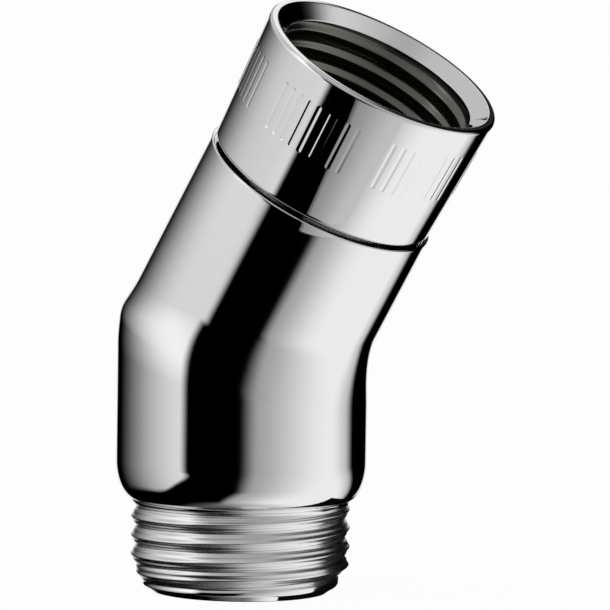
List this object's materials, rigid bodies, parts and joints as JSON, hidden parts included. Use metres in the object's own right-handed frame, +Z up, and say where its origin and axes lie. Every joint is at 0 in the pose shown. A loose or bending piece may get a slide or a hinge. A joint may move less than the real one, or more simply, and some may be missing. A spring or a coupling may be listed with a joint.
{
  "type": "angled hand shower connector",
  "caption": "Chromed angled connector for a hand shower: threaded inlet, bent tubular body and a tapered, grooved union nut that swivels on the outlet.",
  "frame": {"origin": "centre of the inlet's end face, on the inlet thread's axis", "axes": "+Z up the inlet axis; the outlet leans 30 degrees from +Z towards +X; the XZ plane is the plane of the bend"},
  "size_m": [0.0374, 0.024, 0.0568],
  "materials": {
    "chrome_body": "polished chrome plate on brass",
    "chrome_nut": "polished chrome plate on brass, thinly plated inside",
    "spring_steel": "tempered spring steel",
    "black_rubber": "matte moulded"
  },
  "bodies": {
    "connector": {"angled_body": "chrome_body", "retaining_ring": "spring_steel", "sealing_washer": "black_rubber"},
    "nut": {"union_nut": "chrome_nut"}
  },
  "joints": [
    {"name": "nut_spin", "type": "hinge", "parent": "connector", "child": "nut", "pos_m": [0, 0, 0.0245], "axis": [0.5, 0, 0.866], "continuous": true}
  ]
}
